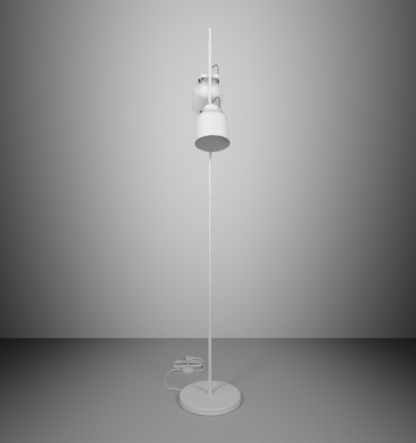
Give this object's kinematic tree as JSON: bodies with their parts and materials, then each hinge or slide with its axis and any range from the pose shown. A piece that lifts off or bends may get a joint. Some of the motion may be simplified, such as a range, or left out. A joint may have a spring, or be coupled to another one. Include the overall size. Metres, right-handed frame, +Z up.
{
  "type": "floor lamp with two adjustable heads",
  "caption": "Slim floor lamp: thin pole on a round weighted base, with pot-shaped heads that tilt on brass thumb nuts and a mains cord with an in-line switch.",
  "frame": {"origin": "centre of the base's underside, on the floor", "axes": "+Z up the pole; -Y towards the lower, front head and +Y towards the upper, rear head; +X to the right seen from the front head's side"},
  "size_m": [0.3205, 0.5892, 1.52],
  "materials": {
    "white_paint": "fine satin white powder coat",
    "brass": "dark satin brass, grooved rim",
    "iron": "plain cast iron, hidden",
    "foot_rubber": "black foam rubber pad",
    "steel": "zinc-plated steel",
    "white_plastic": "moulded white plastic",
    "rocker_plastic": "smooth white rocker",
    "holder_plastic": "black lampholder",
    "opal_bulb": "opal bulb with a metal cap",
    "grey_lead": "grey round cable",
    "white_cord": "white round mains cord",
    "tie_plastic": "white plastic cord tie"
  },
  "bodies": {
    "stand": {"base_pad": "foot_rubber", "base_shell": "white_paint", "base_weight": "iron", "cable_grommets": "white_plastic", "cord_hank": "white_cord", "cord_lead": "white_cord", "cord_link": "white_cord", "cord_relief": "white_plastic", "cord_tail": "white_cord", "foot_bolt": "steel", "foot_plug": "steel", "front_gland": "white_plastic", "front_lead": "grey_lead", "front_saddle": "white_paint", "front_yoke": "white_paint", "front_yoke_screw": "steel", "hank_tie": "tie_plastic", "plug_body": "white_plastic", "plug_pins": "steel", "pole": "white_paint", "pole_cap": "white_paint", "rear_gland": "white_plastic", "rear_lead": "grey_lead", "rear_saddle": "white_paint", "rear_yoke": "white_paint", "rear_yoke_screw": "steel", "switch_base": "white_plastic", "switch_cover": "white_plastic"},
    "front_head": {"front_shade": "white_paint", "front_pivot_spacers": "white_plastic", "front_pivot_nuts": "steel", "front_lampholder": "holder_plastic", "front_holder_nut": "white_paint", "front_bulb": "opal_bulb"},
    "rear_head": {"rear_shade": "white_paint", "rear_pivot_spacers": "white_plastic", "rear_pivot_nuts": "steel", "rear_lampholder": "holder_plastic", "rear_holder_nut": "white_paint", "rear_bulb": "opal_bulb"},
    "rocker": {"switch_rocker": "rocker_plastic"},
    "front_left_thumb_nut": {"front_left_knob": "brass"},
    "front_right_thumb_nut": {"front_right_knob": "brass"},
    "rear_left_thumb_nut": {"rear_left_knob": "brass"},
    "rear_right_thumb_nut": {"rear_right_knob": "brass"}
  },
  "joints": [
    {"name": "front_tilt", "type": "hinge", "parent": "stand", "child": "front_head", "pos_m": [0, -0.067, 1.153], "axis": [-1, 0, 0], "range_deg": [-6, 84]},
    {"name": "rear_tilt", "type": "hinge", "parent": "stand", "child": "rear_head", "pos_m": [0, 0.067, 1.3295], "axis": [1, 0, 0], "range_deg": [-40, 50]},
    {"name": "front_left_nut_turn", "type": "hinge", "parent": "front_head", "child": "front_left_thumb_nut", "pos_m": [0, -0.067, 1.153], "axis": [1, 0, 0], "range_deg": [-180, 180]},
    {"name": "front_right_nut_turn", "type": "hinge", "parent": "front_head", "child": "front_right_thumb_nut", "pos_m": [0, -0.067, 1.153], "axis": [1, 0, 0], "range_deg": [-180, 180]},
    {"name": "rear_left_nut_turn", "type": "hinge", "parent": "rear_head", "child": "rear_left_thumb_nut", "pos_m": [0, 0.067, 1.3295], "axis": [1, 0, 0], "range_deg": [-180, 180]},
    {"name": "rear_right_nut_turn", "type": "hinge", "parent": "rear_head", "child": "rear_right_thumb_nut", "pos_m": [0, 0.067, 1.3295], "axis": [1, 0, 0], "range_deg": [-180, 180]},
    {"name": "rocker_press", "type": "hinge", "parent": "stand", "child": "rocker", "pos_m": [-0.082, 0.294, 0.013], "axis": [0.2588, 0.9659, 0], "range_deg": [0, 12]}
  ]
}
